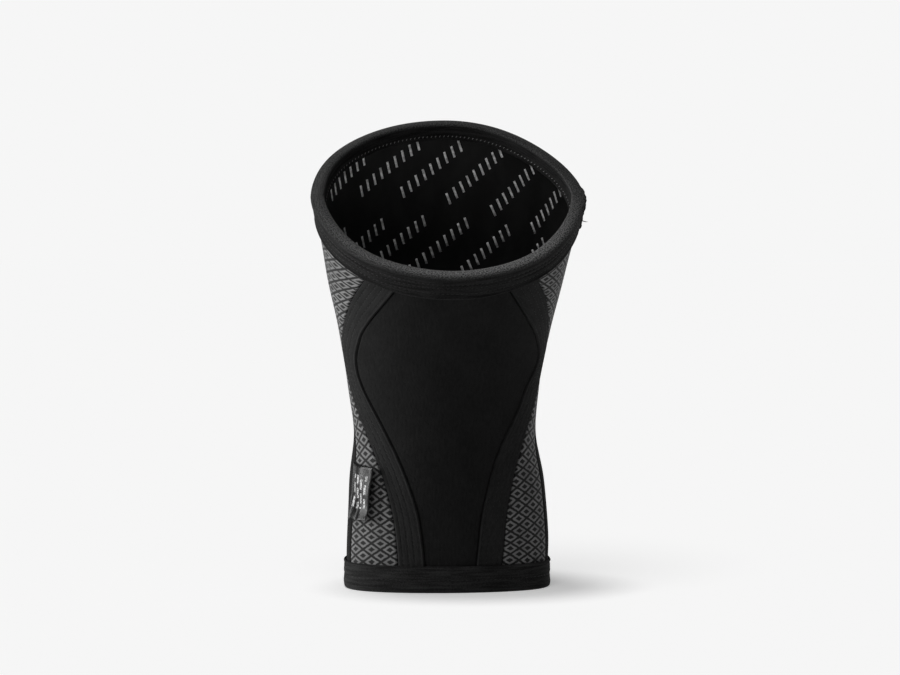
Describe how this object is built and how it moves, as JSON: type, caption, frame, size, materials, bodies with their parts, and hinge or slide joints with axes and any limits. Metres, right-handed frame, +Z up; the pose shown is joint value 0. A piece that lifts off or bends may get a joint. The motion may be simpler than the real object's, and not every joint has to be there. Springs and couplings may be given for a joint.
{
  "type": "knee sleeve",
  "caption": "Padded tube worn round the knee, bent and flared towards the thigh, sewn from foam panels with a tape bound over each rim.",
  "frame": {"origin": "middle of the object's box, on the surface that it stands on", "axes": "+Z up from the calf rim to the thigh rim, +Y towards the kneecap side, -Y towards the back of the knee, which the picture shows"},
  "size_m": [0.1604, 0.1184, 0.2786],
  "materials": {
    "black_jersey": "matte knitted jersey over foam",
    "black_band": "matte ribbed jersey with rows of stitches",
    "grey_lattice": "matte jersey with a woven grey diamond lattice",
    "black_lining": "smooth knit with a sparse light grey grip print",
    "black_tape": "matte knitted tape, slightly fuzzy at its fold",
    "satin_ribbon": "glossy woven satin"
  },
  "bodies": {
    "root": {"rear_panel": "black_jersey", "rear_band_left": "black_band", "rear_band_right": "black_band", "side_panel_left": "grey_lattice", "side_panel_right": "grey_lattice", "knee_panel": "black_jersey", "lining": "black_lining", "top_binding": "black_tape", "bottom_binding": "black_tape", "side_label": "satin_ribbon"}
  },
  "joints": []
}
